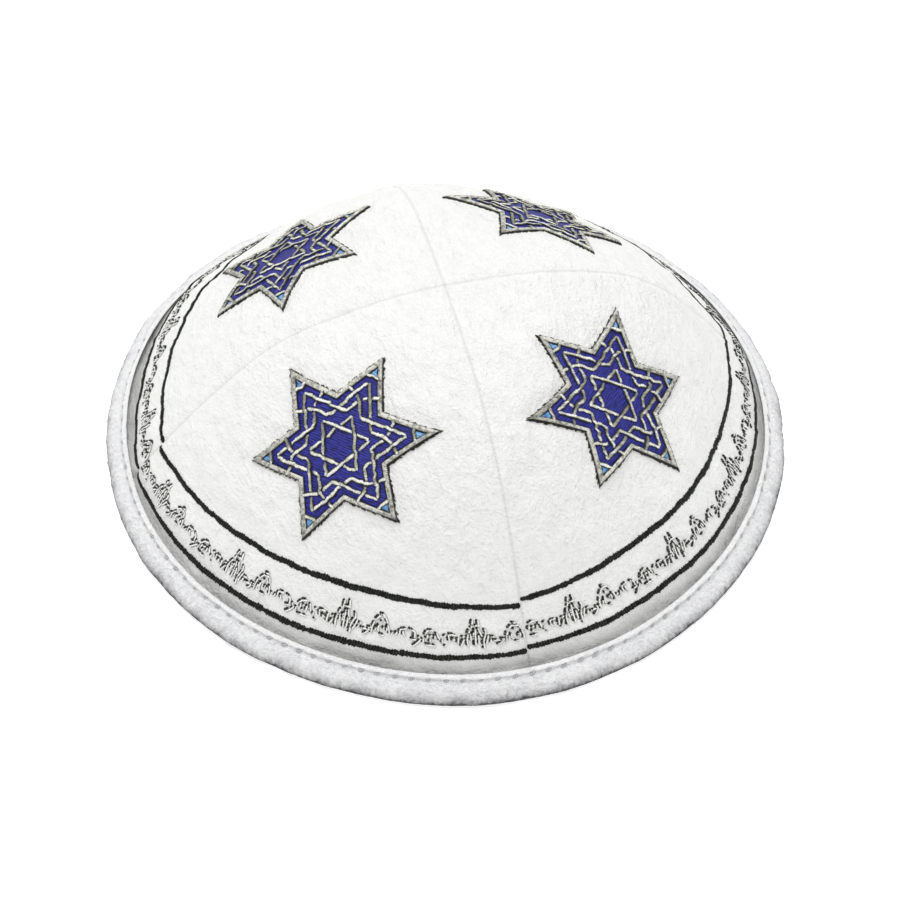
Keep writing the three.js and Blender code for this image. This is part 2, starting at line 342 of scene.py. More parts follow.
class Finish:
    """A material in the making. Constants go straight onto its shader's sockets."""

    def __init__(self, name, **fixed):
        self.material = bpy.data.materials.new(name)
        self.material.use_nodes = True
        self.tree = self.material.node_tree
        self.shader = self.tree.nodes["Principled BSDF"]
        for socket, value in fixed.items():
            self.shader.inputs[socket.replace("_", " ")].default_value = value

    def node(self, kind, settings, values, output=0):
        """One node of a type: its settings first, then a value or link for each socket by name or number."""
        node = self.tree.nodes.new(kind)
        for setting, value in settings.items():
            setattr(node, setting, value)
        for key, value in values.items():
            if isinstance(value, Wire):
                self.tree.links.new(value.socket, node.inputs[key])
            else:
                node.inputs[key].default_value = value
        return Wire(self, node.outputs[output])

    def place(self):
        """Object coordinates, in metres."""
        return self.node("ShaderNodeTexCoord", {}, {}, "Object")

    def part(self, vector, axis):
        """The X, Y or Z of a vector."""
        return self.node("ShaderNodeSeparateXYZ", {}, {"Vector": vector}, axis)

    def pattern(self):
        """The piece's own pattern coordinates as two wires, along and across."""
        both = self.node("ShaderNodeUVMap", {"uv_map": "pattern"}, {})
        return self.part(both, "X"), self.part(both, "Y")

    def noise(self, where, size, detail=3.0, roughness=0.7):
        """Noise of 0 to 1 whose spots are about as large as size, in the unit of the coordinates."""
        values = {"Vector": where, "Scale": 1 / size, "Detail": detail, "Roughness": roughness}
        return self.node("ShaderNodeTexNoise", {}, values, "Fac")

    def blend(self, first, second, factor):
        """Two colours mixed by a factor."""
        return self.node("ShaderNodeMix", {"data_type": "RGBA"}, {0: factor, 6: first, 7: second}, 2)

    def course(self, direction):
        """How nearly a piece's pattern runs along a direction: 1 along it, -1 against it."""
        tangent = self.node("ShaderNodeTangent", {"direction_type": "UV_MAP", "uv_map": "pattern"}, {})
        product = {"operation": "DOT_PRODUCT"}
        return self.node("ShaderNodeVectorMath", product, {0: tangent, 1: direction}, "Value")

    def colour(self, wire):
        self.tree.links.new(wire.socket, self.shader.inputs["Base Color"])

    def bump(self, height, depth, strength):
        """Bumps whose height of 0 to 1 stands for a depth in metres."""
        values = {"Height": height, "Distance": depth, "Strength": strength}
        bump = self.node("ShaderNodeBump", {}, values)
        self.tree.links.new(bump.socket, self.shader.inputs["Normal"])


# The suede's colours where its nap lies dull or clean and its painted shade, the turn and stretch of its
# brushed grain, the depth of the nap, the heights between which the painted shade above the binding ends, and
# the squares of the distances from a seam between which the painted shade in its crease ends.
SUEDE_DULL = (0.86, 0.865, 0.835, 1)
SUEDE_CLEAN = (1.0, 1.0, 0.98, 1)
SUEDE_PAINTED_SHADE = (0.47, 0.47, 0.465, 1)
BRUSHING = {"Rotation": (0.4, 0.5, 0.7), "Scale": (1, 0.5, 1)}
NAP_DEPTH = 0.0026
HEM_SHADE_ENDS = (0.0061, 0.0108)
CREASE_SHADE_ENDS = (0.01, 0.3)


def suede_finish():
    """Brushed white suede: a warm white with a soft mottle of its nap, fine wrinkles and a short grain.

    Painted shade greys it just above the binding, under the lip, and in the creases of the seams, where one
    of its pattern coordinates is zero.
    """
    sheen = {"Sheen_Weight": 0.15, "Sheen_Roughness": 0.5}
    finish = Finish("white suede", Roughness=0.95, Specular_IOR_Level=0.2, **sheen)
    where = finish.place()
    stroke = finish.node("ShaderNodeMapping", {}, {"Vector": where, **BRUSHING})
    nap = finish.noise(where, 0.0075, detail=4.0, roughness=0.65)
    wrinkle = finish.noise(stroke, 0.0034, roughness=0.55)
    brushed = finish.noise(stroke, 0.0013, roughness=0.6)
    grain = finish.noise(where, 0.0007)
    coarse = nap.within(0.3, 0.7) * 0.2 + wrinkle.within(0.34, 0.66) * 0.25
    fine = brushed.within(0.3, 0.7) * 0.25 + grain.within(0.3, 0.7) * 0.3
    clean = finish.blend(SUEDE_DULL, SUEDE_CLEAN, coarse + fine)
    aside, ahead = finish.pattern()
    # Painted shade: grey in the seams' creases and just above the binding, mottled by the nap.
    crease_shade = 2 - (aside * aside).within(*CREASE_SHADE_ENDS) - (ahead * ahead).within(*CREASE_SHADE_ENDS)
    hem_shade = (1 - finish.part(where, "Z").within(*HEM_SHADE_ENDS)) * (0.3 + nap * 0.85)
    suede_shade = (hem_shade + crease_shade * 0.2).within(0, 1)
    finish.colour(finish.blend(clean, SUEDE_PAINTED_SHADE, suede_shade))
    finish.bump(wrinkle * 0.48 + brushed * 0.27 + grain * 0.25, NAP_DEPTH, 0.9)
    return finish


suede = suede_finish()

# Columns lie closer together beside the seams, where the cloth dips, and rows towards the hem.
SEAM_STRIP = 0.036
SEAM_COLUMNS = 15
MIDDLE_COLUMNS = 117
COLUMNS = np.concatenate([
    np.linspace(0, SEAM_STRIP, SEAM_COLUMNS),
    np.linspace(SEAM_STRIP, 1 - SEAM_STRIP, MIDDLE_COLUMNS)[1:-1],
    np.linspace(1 - SEAM_STRIP, 1, SEAM_COLUMNS),
])
ROWS = 104
ROW_SPREAD = 0.94
SHARP_EDGE = math.radians(50)


def panel_points(quarter):
    """The closed panel: its outer face from crown to hem, its inner face back up, and two seam edges."""
    azimuth = (quarter + np.tile(COLUMNS, (ROWS, 1))) * QUARTER_TURN
    hem = share_at_height(azimuth, HEM_HEIGHT)
    share = hem * np.linspace(0, 1, ROWS)[:, None] ** ROW_SPREAD
    outer = cloth(quarter, azimuth, share, 0)
    inner = cloth(quarter, azimuth, share, -CLOTH_WALL)
    outer[0] = outer[0].mean(axis=0)
    inner[0] = inner[0].mean(axis=0)
    loop = np.concatenate([outer, inner[::-1]])
    core = (outer + inner) / 2
    core = np.concatenate([core, core[::-1]])
    points = np.concatenate([core[:, :1], loop, core[:, -1:]], axis=1)
    return points, points[..., :2]


for quarter, name in enumerate(QUARTERS):
    panel = grid_piece(f"suede_{name}", [panel_points(quarter)])
    panel.data.set_sharp_from_angle(angle=SHARP_EDGE)
    fasten(panel, suede, "suede", f"panel_{name}")


# The rim is bound with a strip of white velour, folded round a soft filler outside and turned under to the
# inside. A raised lip runs along its upper fold, and just below a row of slanting stitches dimples the pile.
BINDING_HEIGHT = 6.0
BINDING_DEPTH = 2.6
INNER_FOLD_HEIGHT = 5.2
TAPE_WALL = 1.2
STITCH_PITCH = 4.15
STITCHES = round(math.tau * RIM_RADIUS / STITCH_PITCH)

# From the table up to the lip: shares of the height, and of the depth outwards from the panel's face.
BINDING_OUTSIDE = [
    (0, 0.0), (0.03, 0.25), (0.1, 0.55), (0.2, 0.81), (0.34, 0.97), (0.48, 0.97), (0.62, 0.86), (0.74, 0.66),
    (0.82, 0.47), (0.865, 0.39), (0.90, 0.41), (0.94, 0.50), (0.97, 0.49), (0.99, 0.36), (1.0, 0.14),
]

# Down behind the lip and under the hem, over the inner fold and down to the table, and the flat underside:
# millimetres up from the table, and in from the panel's outer face.
BINDING_TUCKED = [(BINDING_HEIGHT - 0.2, -0.25), (TAPE_WALL, -0.25), (TAPE_WALL, 1.9)]
BINDING_INSIDE = [
    (INNER_FOLD_HEIGHT - 0.2, 1.9), (INNER_FOLD_HEIGHT, 2.2), (INNER_FOLD_HEIGHT - 0.1, 2.9),
    (INNER_FOLD_HEIGHT - 0.6, 3.15), (TAPE_WALL * 1.2, 3.15), (0.3, 2.9), (0.0, 2.3),
]
BINDING_UNDER = [(0.0, 1.0)]

# Steps along the curved stretches of the section and round the rim.
OUTSIDE_STEP = 0.28
INSIDE_STEP = 0.7
BINDING_STEPS = 1088

# The dimples: how deep, at which share of the height, how wide a share of it and how slanting, and the level
# of the stitches. Below each dimple the pile puffs up, where the stitch's pull is more than a share.
DIMPLE_DEPTH = 0.5
DIMPLE_LEVEL = 0.87
DIMPLE_WIDTH = 0.06
DIMPLE_SLANT = 4.5
STITCH_LEVEL = 0.88
PUFF_RISE = 0.3
PUFF_LEVEL = 0.66
PUFF_WIDTH = 0.13
PUFF_PULL = 0.3

# Unevenness of the roll, by height, length and seed, the shares of it outwards and upwards, the height above
# which it is full, and how far out from the panel it starts and over what distance it grows full.
ROLL_WAVES = [(0.2, 17, 21), (0.1, 5, 22), (0.08, 1.6, 23)]
ROLL_OUT = 0.8
ROLL_UP = 0.5
FIRM_HEIGHT = 1.5
ROLL_START = 0.2
ROLL_FADE = 1.2


def run_along(path):
    """How far along a path each of its points lies."""
    return np.concatenate([[0], np.cumsum(np.linalg.norm(np.diff(path, axis=0), axis=1))])


def smooth_line(points, spacing):
    """A curve through points, each stretch a cubic that leaves along the line between its neighbours,
    resampled at even steps of about the spacing."""
    points = np.asarray(points, dtype=float)
    padded = np.concatenate([2 * points[:1] - points[1:2], points, 2 * points[-1:] - points[-2:-1]])
    t = np.linspace(0, 1, 24, endpoint=False)[:, None, None]
    a, b, c, d = padded[:-3], padded[1:-2], padded[2:-1], padded[3:]
    curve = 0.5 * (2 * b + (c - a) * t + (2 * a - 5 * b + 4 * c - d) * t**2 + (3 * b - a - 3 * c + d) * t**3)
    curve = np.concatenate([np.swapaxes(curve, 0, 1).reshape(-1, points.shape[1]), points[-1:]])
    run = run_along(curve)
    count = max(3, int(round(run[-1] / spacing)) + 1)
    even = np.linspace(0, run[-1], count)
    return np.stack([np.interp(even, run, column) for column in curve.T], axis=-1)


def binding_section():
    """The outline of the bound edge: outwards from the foot of the panel and up, in millimetres."""
    outside = np.array([
        (out * BINDING_DEPTH - rise * BINDING_HEIGHT / math.tan(SIDE_SLOPE), rise * BINDING_HEIGHT)
        for rise, out in BINDING_OUTSIDE
    ])
    tucked, inside, under = (
        [(-height / math.tan(SIDE_SLOPE) - depth / math.sin(SIDE_SLOPE), height) for height, depth in stretch]
        for stretch in (BINDING_TUCKED, BINDING_INSIDE, BINDING_UNDER)
    )
    outside_curve = smooth_line(outside, OUTSIDE_STEP)
    return np.concatenate([outside_curve, tucked, smooth_line(inside, INSIDE_STEP), under, outside[:1]])


def binding_points():
    """The section carried round the rim, with the foot of each meridian.

    Each stitch pulls a dimple into it, the pile puffs up below each dimple, and the roll is uneven.
    """
    section = binding_section()
    azimuth = np.linspace(0, math.tau, BINDING_STEPS + 1)
    foot = meridian(azimuth, np.ones_like(azimuth))[0]
    run = azimuth * RIM_RADIUS
    out, height = section[:, :1], section[:, 1:]
    side = out + height / math.tan(SIDE_SLOPE)
    outside = np.clip((side - ROLL_START) / ROLL_FADE, 0, 1)
    level = height / BINDING_HEIGHT
    pull = np.maximum(np.cos(azimuth * STITCHES - (level - STITCH_LEVEL) * DIMPLE_SLANT), 0) ** 3
    dimple = DIMPLE_DEPTH * pull * hump(level - DIMPLE_LEVEL, DIMPLE_WIDTH)
    puff = PUFF_RISE * (pull - PUFF_PULL) * hump(level - PUFF_LEVEL, PUFF_WIDTH)
    radius = foot + out
    place = round_middle(radius, azimuth, height + 0 * radius)
    uneven = sum(waves(place, size) for size in ROLL_WAVES)
    lean = outside * (uneven * np.clip(height / FIRM_HEIGHT, 0, 1) - outside * (dimple - puff))
    radius = radius + lean * ROLL_OUT
    raised = height + lean * ROLL_UP * np.clip(height / (2 * FIRM_HEIGHT), 0, 1)
    points = round_middle(radius, azimuth, raised)
    points[:, -1] = points[:, 0]
    pattern = np.stack([run + 0 * height, height + 0 * run], axis=-1)
    return points, pattern


# The velour's colours where its pile lies dull or clean and its painted shadow, the pile's depth, and the
# heights between which the painted contact shadow at the foot, the turned-under edge where it stops, the
# painted shade in the groove of the stitches and the painted highlight on the lip begin or end.
VELOUR_DULL = (0.78, 0.78, 0.80, 1)
VELOUR_CLEAN = (1.0, 1.0, 1.0, 1)
VELOUR_PAINTED_SHADOW = (0.05, 0.05, 0.055, 1)
PILE_DEPTH = 0.0015
FOOT_SHADOW_ENDS = (0.0026, 0.0060)
TURNED_UNDER_ENDS = (0.0001, 0.0011)
GROOVE_SHADE_STARTS = (0.0047, 0.0051)
GROOVE_SHADE_ENDS = (0.0053, 0.0058)
LIP_HIGHLIGHT_STARTS = (0.0056, 0.0063)


def velour_finish():
    """White velour: a cool white pile, thick and short.

    Painted contact shadow darkens it towards the foot but not under it, painted shade greys the groove of the
    stitches, and a painted highlight lightens the lip.
    """
    sheen = {"Sheen_Weight": 0.2, "Sheen_Roughness": 0.6}
    finish = Finish("white velour", Roughness=1.0, Specular_IOR_Level=0.15, **sheen)
    where = finish.place()
    tufts = finish.noise(where, 0.0010)
    patches = finish.noise(where, 0.0045, roughness=0.6)
    height = finish.part(where, "Z")
    mottle = tufts.within(0.34, 0.66) * 0.6 + patches.within(0.3, 0.7) * 0.4
    # Painted highlight: the lip is lighter, as its top faces the light.
    lip_highlight = (height + tufts * 0.0006).within(*LIP_HIGHLIGHT_STARTS)
    clean = finish.blend(VELOUR_DULL, VELOUR_CLEAN, mottle * 0.9 + lip_highlight * 0.3)
    # Painted contact shadow darkens the roll towards its foot but stops under it; painted shade greys the
    # groove.
    foot = 1 - (height + patches * 0.0014 + tufts * 0.0018).within(*FOOT_SHADOW_ENDS)
    groove_shade = height.within(*GROOVE_SHADE_STARTS) - height.within(*GROOVE_SHADE_ENDS)
    velour_shadow = foot * foot * height.within(*TURNED_UNDER_ENDS) * 1.2 + groove_shade * 0.17
    finish.colour(finish.blend(clean, VELOUR_PAINTED_SHADOW, velour_shadow.within(0, 1)))
    finish.bump(tufts * 0.8 + patches * 0.2, PILE_DEPTH, 0.85)
    return finish


velour = velour_finish()
binding = grid_piece("bound_rim", [binding_points()])
fasten(binding, velour, "velour", "rim_binding")


# Each stitch of the binding is a short slanting length of thread in painted grey shade, sunk in its dimple
# below the lip.
# No two lie quite alike: each strays by a share of the pitch and rises by its own slant.
STITCH_LENGTH = 2.4
STITCH_HALF_WIDTH = 0.2
STITCH_HEIGHT = 5.2
STITCH_OUT = 1.1
STITCH_SAG = 0.3
STITCH_STRAY = 0.06
STITCH_SLANTS = (0.32, 0.5)
SEWING_TWIST = 14
# The thread's two greys are painted shade of the stitch holes.
SEWING_SHADE_DARK = (0.34, 0.34, 0.36, 1)
SEWING_SHADE_LIGHT = (0.62, 0.62, 0.64, 1)


def round_thread(path, half_width, rise, sink, around, taper, pitch=0.0, depth=0.0):
    """A thread on a flat path: for each step the places across it and the lifts of a rounded section.

    The section is half an ellipse up and half one down, and shrinks to a point at both ends as the root of
    the way. With a pitch it has slanting ridges: its size swings up and down by a share, the depth.
    """
    direction = np.gradient(path, axis=0)
    direction /= np.linalg.norm(direction, axis=1, keepdims=True)
    normal = np.stack([-direction[:, 1], direction[:, 0]], axis=-1)
    run = run_along(path)
    ends = np.clip(np.minimum(run, run[-1] - run) / taper, 0, 1) ** 0.5
    angle = np.linspace(0, math.tau, around + 1)[:, None]
    ridge = 1.0
    if pitch:
        ridge = 1 + depth * (np.abs(np.sin(math.pi * (run / pitch + angle / math.tau))) * 2 - 1)
    across = half_width * np.cos(angle) * ends * ridge
    up = np.where(np.sin(angle) > 0, rise, sink) * np.sin(angle) * ends * ridge
    flat = path[None] + across[..., None] * normal[None]
    pattern = np.stack([run + 0 * angle, angle / math.tau + 0 * run], axis=-1)
    return flat, up, pattern


def stitch_grids():
    """All stitches of the binding, each laid on the roll from lower left to upper right."""
    random = np.random.default_rng(5)
    half = STITCH_LENGTH / 2
    grids = []
    for stitch in range(STITCHES):
        azimuth = math.tau * (stitch + random.uniform(-STITCH_STRAY, STITCH_STRAY)) / STITCHES
        slant = random.uniform(*STITCH_SLANTS)
        path = smooth_line([(-half, -slant), (0, 0), (half, slant)], 0.3)
        flat, up, pattern = round_thread(path, STITCH_HALF_WIDTH, rise=0.2, sink=0.2, around=6, taper=0.9)
        turn = azimuth + flat[..., 0] / RIM_RADIUS
        height = STITCH_HEIGHT + flat[..., 1]
        foot = meridian(turn, np.ones_like(turn))[0]
        sag = STITCH_SAG * (flat[..., 0] / half) ** 2
        out = foot - height / math.tan(SIDE_SLOPE) + STITCH_OUT - sag + up * math.sin(SIDE_SLOPE)
        raised = height + up * math.cos(SIDE_SLOPE)
        grids.append((round_middle(out, turn, raised), pattern))
    return grids


def sewing_finish():
    """Matt sewing thread with its twist, painted grey as the shade in the stitch holes."""
    finish = Finish("sewing thread", Roughness=0.8, Specular_IOR_Level=0.2)
    along, around = finish.pattern()
    twist = (along * SEWING_TWIST + around * math.tau).ridges()
    finish.colour(finish.blend(SEWING_SHADE_DARK, SEWING_SHADE_LIGHT, twist))
    finish.bump(twist, 0.00008, 0.5)
    return finish


sewing_thread = sewing_finish()
stitching = grid_piece("binding_stitches", stitch_grids())
fasten(stitching, sewing_thread, "velour")


# Two border lines run round the foot of each panel. Each is a thick near-black cord, couched down on the
# cloth, that ends at the seams. It wanders a little from its course, and its thickness is ragged.
LINE_HALF_WIDTH = 0.67
LINE_RISE = 0.24
LINE_MARGIN = -0.05
LINE_STEP = 0.2
LINE_WANDERS = [(0.07, 1.9, 1, 0), (0.05, 0.83, 0, 2)]
LUMP_SPACING = 0.34
LUMP_SHARE = 0.15
CORD_PITCH = 0.66
CORD_DARK = (0.006, 0.007, 0.005, 1)
CORD_HIGHLIGHT = (0.048, 0.05, 0.04, 1)

# The border of each panel, laid out flat: its length, and the height between its lines.
BAND_LENGTH = 118.0
BAND_HEIGHT = 12.8


def band_point(quarter, flat, lift):
    """Points in the border: along it from its first seam, and up it from the lower line, as laid out flat."""
    along = flat[..., 0] / BAND_LENGTH
    low = line_height(quarter, along, LOWER_LINES, LOWER_LINE_HEIGHT)
    high = line_height(quarter, along, UPPER_LINES, UPPER_LINE_HEIGHT)
    azimuth = (quarter + along) * QUARTER_TURN
    share = share_at_height(azimuth, low + (high - low) * flat[..., 1] / BAND_HEIGHT)
    return cloth(quarter, azimuth, share, lift)


def line_grid(quarter, level):
    """A cord along the border, at level 0 or 1: its centre wanders by about a tenth of a millimetre, as two
    sine waves added up, and its width changes by chance from lump to lump."""
    margin = LINE_MARGIN * BAND_LENGTH / (RIM_RADIUS * QUARTER_TURN)
    x = np.arange(margin, BAND_LENGTH - margin, LINE_STEP)
    wander = sum(
        reach * np.sin(x / length + by_quarter * quarter + by_level * level)
        for reach, length, by_quarter, by_level in LINE_WANDERS
    )
    path = np.stack([x, level * BAND_HEIGHT + wander], axis=-1)
    spots = np.arange(0, BAND_LENGTH + 1, LUMP_SPACING)
    lumps = np.random.default_rng(7 + 2 * quarter + level).normal(size=len(spots))
    half_width = LINE_HALF_WIDTH * (1 + LUMP_SHARE * np.interp(x, spots, lumps))
    section = {"rise": LINE_RISE, "sink": 0.3, "around": 10, "taper": 0.35}
    flat, up, pattern = round_thread(path, half_width, **section, pitch=CORD_PITCH, depth=0.2)
    return band_point(quarter, flat, up), pattern


def dark_finish(name, low, high):
    """Dark embroidery thread, with painted highlights on the crests of its strands, in patches of a lint
    noise.
    """
    sheen = {"Sheen_Weight": 0.12, "Sheen_Roughness": 0.3}
    finish = Finish(name, Roughness=0.8, Specular_IOR_Level=0.1, **sheen)
    along, around = finish.pattern()
    strand = (along * (math.tau / CORD_PITCH) + around * math.tau).ridges()
    lint_and_highlight = finish.noise(finish.place(), 0.0009).within(0.35, 0.75)
    # Painted highlight: paler on the strands' crests where the lint noise is high.
    finish.colour(finish.blend(low, high, strand * lint_and_highlight * 1.6))
    finish.bump(strand * 0.4 + lint_and_highlight * 0.6, 0.00015, 0.7)
    return finish


cord = dark_finish("near-black cord", CORD_DARK, CORD_HIGHLIGHT)
for quarter, name in enumerate(QUARTERS):
    for level, place in enumerate(("lower", "upper")):
        line = grid_piece(f"{place}_cord_{name}", [line_grid(quarter, level)])
        fasten(line, cord, "dark_thread", f"{place}_line_{name}")


# Between the lines runs a row of little buildings in outline, towers, domes and arches, over and over again.
# They are worked in short stitches of near-black thread, with a silver thread beside them.
SKYLINE_REPEAT = 31.4
SKYLINE_START = 11.8
SKYLINE_HALF_WIDTH = 0.33
SKYLINE_MARGIN = 0.5
SKYLINE_STEP = 0.32
STROKE_WAVER = 0.14
STITCH_STEPS = 5
STITCH_WAVER = 0.1
SILVER_BESIDE = (0.42, -0.28)
CHARCOAL_DARK = (0.008, 0.009, 0.007, 1)
CHARCOAL_HIGHLIGHT = (0.17, 0.17, 0.15, 1)
# The pale silver's painted flank shade, its painted shade where it runs front to back, and its own tones.
PALE_SILVER = {
    "flank_shade": (0.35, 0.35, 0.32, 1), "shade": (0.7, 0.7, 0.67, 1),
    "low": (0.8, 0.8, 0.77, 1), "high": (1.0, 1.0, 0.98, 1),
}

# Strokes of one repeat: millimetres along from the tower's middle and up from the lower line.
SKYLINE = [
    [(-0.6, 10.0), (-0.9, 7.6)],
    [(0.6, 10.1), (0.9, 8.2)],
    [(-0.7, 8.6), (1.4, 8.3)],
    [(-1.2, 7.6), (-1.9, 5.2), (-1.9, 3.0)],
    [(0.0, 7.8), (0.0, 5.6), (0.05, 3.0)],
    [(0.6, 7.9), (1.0, 6.4), (1.7, 5.2)],
    [(2.1, 7.6), (2.5, 6.6), (1.9, 4.6), (1.8, 2.2)],
    [(3.1, 6.0), (2.7, 4.6), (2.2, 3.4)],
    [(3.3, 5.5), (4.6, 5.3)],
    [(4.0, 4.4), (5.9, 4.5)],
    [(5.0, 3.1), (6.1, 4.0), (6.2, 5.2)],
    [(7.0, 3.6), (7.1, 5.2), (7.5, 6.6)],
    [(7.6, 7.0), (8.7, 8.1), (10.1, 7.9), (10.8, 6.8)],
    [(8.6, 8.7), (9.9, 8.6)],
    [(10.8, 6.6), (11.3, 5.2), (11.2, 4.0)],
    [(8.6, 6.2), (8.3, 4.9), (8.9, 4.2)],
    [(9.9, 6.1), (9.8, 4.8)],
    [(8.9, 3.8), (10.2, 3.7)],
    [(11.7, 4.8), (12.5, 5.2)],
    [(12.7, 4.4), (13.3, 5.6)],
    [(13.9, 4.7), (13.9, 6.1), (15.6, 6.5)],
    [(16.0, 6.4), (17.2, 5.8), (17.3, 4.4)],
    [(16.3, 4.0), (17.9, 4.2)],
    [(16.9, 2.3), (18.0, 3.5), (19.0, 4.7)],
    [(19.3, 3.5), (19.4, 4.9)],
    [(19.5, 5.2), (20.5, 6.6), (21.9, 6.8)],
    [(22.3, 6.5), (22.8, 5.6), (23.3, 4.3)],
    [(19.9, 3.3), (22.4, 3.2)],
    [(20.6, 5.4), (21.7, 5.5)],
    [(21.0, 4.9), (20.9, 3.9)],
    [(23.9, 5.4), (24.6, 6.1)],
    [(24.2, 3.1), (24.8, 3.3)],
    [(25.5, 4.2), (25.4, 5.9), (27.1, 5.8)],
    [(27.5, 5.7), (27.4, 3.6)],
    [(25.8, 4.8), (26.9, 4.7)],
    [(28.2, 5.4), (29.2, 5.6)],
    [(-1.2, 6.6), (-1.1, 4.4)],
    [(-0.5, 6.8), (-0.6, 4.8)],
    [(0.7, 6.2), (0.8, 3.6)],
    [(3.7, 4.9), (3.4, 3.8)],
    [(6.6, 5.3), (6.7, 4.0)],
    [(7.9, 5.8), (7.7, 4.3)],
    [(9.2, 7.3), (9.3, 6.5)],
    [(10.4, 6.0), (10.5, 4.6)],
    [(14.6, 5.9), (14.7, 4.9), (15.4, 4.5)],
    [(18.0, 5.2), (18.5, 4.3)],
    [(20.3, 6.0), (20.2, 4.4)],
    [(22.1, 6.0), (21.9, 4.3)],
    [(23.6, 4.9), (24.0, 3.9)],
    [(26.2, 5.4), (26.3, 4.1)],
    [(28.9, 5.0), (28.3, 3.9), (27.9, 3.2)],
]


def skyline_grids(quarter):
    """The strokes of all repeats that fit between the seams, as threads: dark stitches, and a silver thread.

    A stroke is a smooth line through its points. Each point wavers, and so does each stitch cut from it.
    """
    random = np.random.default_rng(31 + quarter)
    dark_grids = []
    light_grids = []
    for repeat in range(-1, 4):
        tower = SKYLINE_START + repeat * SKYLINE_REPEAT
        for stroke in SKYLINE:
            wavers = random.uniform(-STROKE_WAVER, STROKE_WAVER, (len(stroke), 2))
            path = smooth_line(np.array(stroke) + wavers + (tower, 0), SKYLINE_STEP)
            path = path[(path[:, 0] > SKYLINE_MARGIN) & (path[:, 0] < BAND_LENGTH - SKYLINE_MARGIN)]
            threads = []
            for start in range(0, len(path) - 2, STITCH_STEPS):
                stitch = path[start:start + STITCH_STEPS + 1]
                threads.append((dark_grids, stitch + random.uniform(-STITCH_WAVER, STITCH_WAVER, 2)))
            if len(path) > 2:
                threads.append((light_grids, path + SILVER_BESIDE))
            for grids, thread in threads:
                section = {"rise": 0.38, "sink": 0.2, "around": 6, "taper": 0.2}
                flat, up, pattern = round_thread(thread, SKYLINE_HALF_WIDTH, **section, pitch=0.7, depth=0.12)
                grids.append((band_point(quarter, flat, up), pattern))
    return dark_grids, light_grids


# Silver thread's twist in radians for each millimetre, and the way from the front to the back.
SILVER_TWIST = 9.0
FRONT_TO_BACK = (0.25, 0.97, 0)


def front_to_back_shade(finish):
    """How nearly a thread runs from front to back, the mask of its painted shade: 0 across, 1 along, from the
    square of its course.
    """
    ahead = finish.course(FRONT_TO_BACK)
    return (ahead * ahead).within(0.45, 0.8)


def silver_finish(name, flank_shade, shade, low, high):
    """Silver-grey twisted embroidery thread, with painted shade down its flanks and where it runs front to
    back, away from the light.
    """
    finish = Finish(name, Roughness=0.5, Metallic=0.1, Specular_IOR_Level=0.4)
    along, around = finish.pattern()
    ply = (along * SILVER_TWIST + around * math.tau).ridges()
    tone = finish.noise(finish.place(), 0.0014, detail=2.0, roughness=0.5)
    body = finish.blend(low, high, ply * 0.3 + tone.within(0.32, 0.6) * 0.7)
    # Painted shade: darker where the thread runs front to back and down its flanks; its crown stays lit.
    lit = finish.blend(body, shade, front_to_back_shade(finish) * 0.85)
    crown = (around * math.tau + 0.2).sine().within(0.7, 0.95)
    finish.colour(finish.blend(flank_shade, lit, crown))
    finish.bump(ply, 0.0001, 0.5)
    return finish


charcoal = dark_finish("charcoal thread", CHARCOAL_DARK, CHARCOAL_HIGHLIGHT)
pale_silver = silver_finish("pale silver thread", **PALE_SILVER)
for quarter, name in enumerate(QUARTERS):
    dark_grids, light_grids = skyline_grids(quarter)
    fasten(grid_piece(f"skyline_dark_{name}", dark_grids), charcoal, "dark_thread")
    fasten(grid_piece(f"skyline_silver_{name}", light_grids), pale_silver, "silver_thread")


# A six-pointed star is embroidered in the middle of each panel. Its field is laid in royal blue thread, side
# to side, with the ground of each point in light blue, and it lies a little proud of the suede.
EDGE_WIDTH = 1.6
FIELD_LIFT = 0.4
FIELD_TUCK = 0.35
FIELD_SINK = 0.3
FIELD_STEPS = 20
UNDERSIDE_RINGS = 12
TOP_RINGS = 26
EDGE_SHARPNESS = 14
RIB_PITCH = 0.6
LIGHT_POINT_ENDS = (18.35, 18.65)
ROYAL_DARK = (0.001, 0.001, 0.012, 1)
ROYAL_LIGHT = (0.046, 0.049, 0.43, 1)
PALE_BLUE_DARK = (0.02, 0.09, 0.36, 1)
PALE_BLUE_LIGHT = (0.30, 0.60, 0.95, 1)


def star_point(quarter, flat, lift):
    """Points of a star on its panel: x runs along the rim and y up the panel, from the star's centre."""
    shares, distances, radii = middle_of(quarter)
    cosine, sine = math.cos(STAR_TURN), math.sin(STAR_TURN)
    turned = flat @ np.array([[cosine, sine], [-sine, cosine]])
    down = STAR_PLACE * distances[-1] - turned[..., 1]
    share = np.interp(down, distances, shares)
    aside = turned[..., 0] * STAR_NARROWING + STAR_ASIDE
    azimuth = (quarter + 0.5) * QUARTER_TURN + aside / np.interp(down, distances, radii)
    return cloth(quarter, azimuth, share, lift)


def star_outline(inset, steps):
    """The star's outline moved in by an inset, its twelve edges in even steps, and its start again."""
    half = math.pi / 6
    tip_angle = math.atan2(STAR_NOTCH * math.sin(half), STAR_TIP - STAR_NOTCH * math.cos(half))
    notch_angle = math.pi - half - tip_angle
    tip = STAR_TIP - inset / math.sin(tip_angle)
    notch = STAR_NOTCH - inset / math.sin(notch_angle)
    radius = np.where(np.arange(13) % 2, notch, tip)
    angle = np.arange(13) * half
    corners = np.stack([-radius * np.sin(angle), radius * np.cos(angle)], axis=-1)
    part = np.linspace(0, 1, steps, endpoint=False)[None, :, None]
    edges = corners[:-1, None] * (1 - part) + corners[1:, None] * part
    return np.concatenate([edges.reshape(-1, 2), corners[:1]])


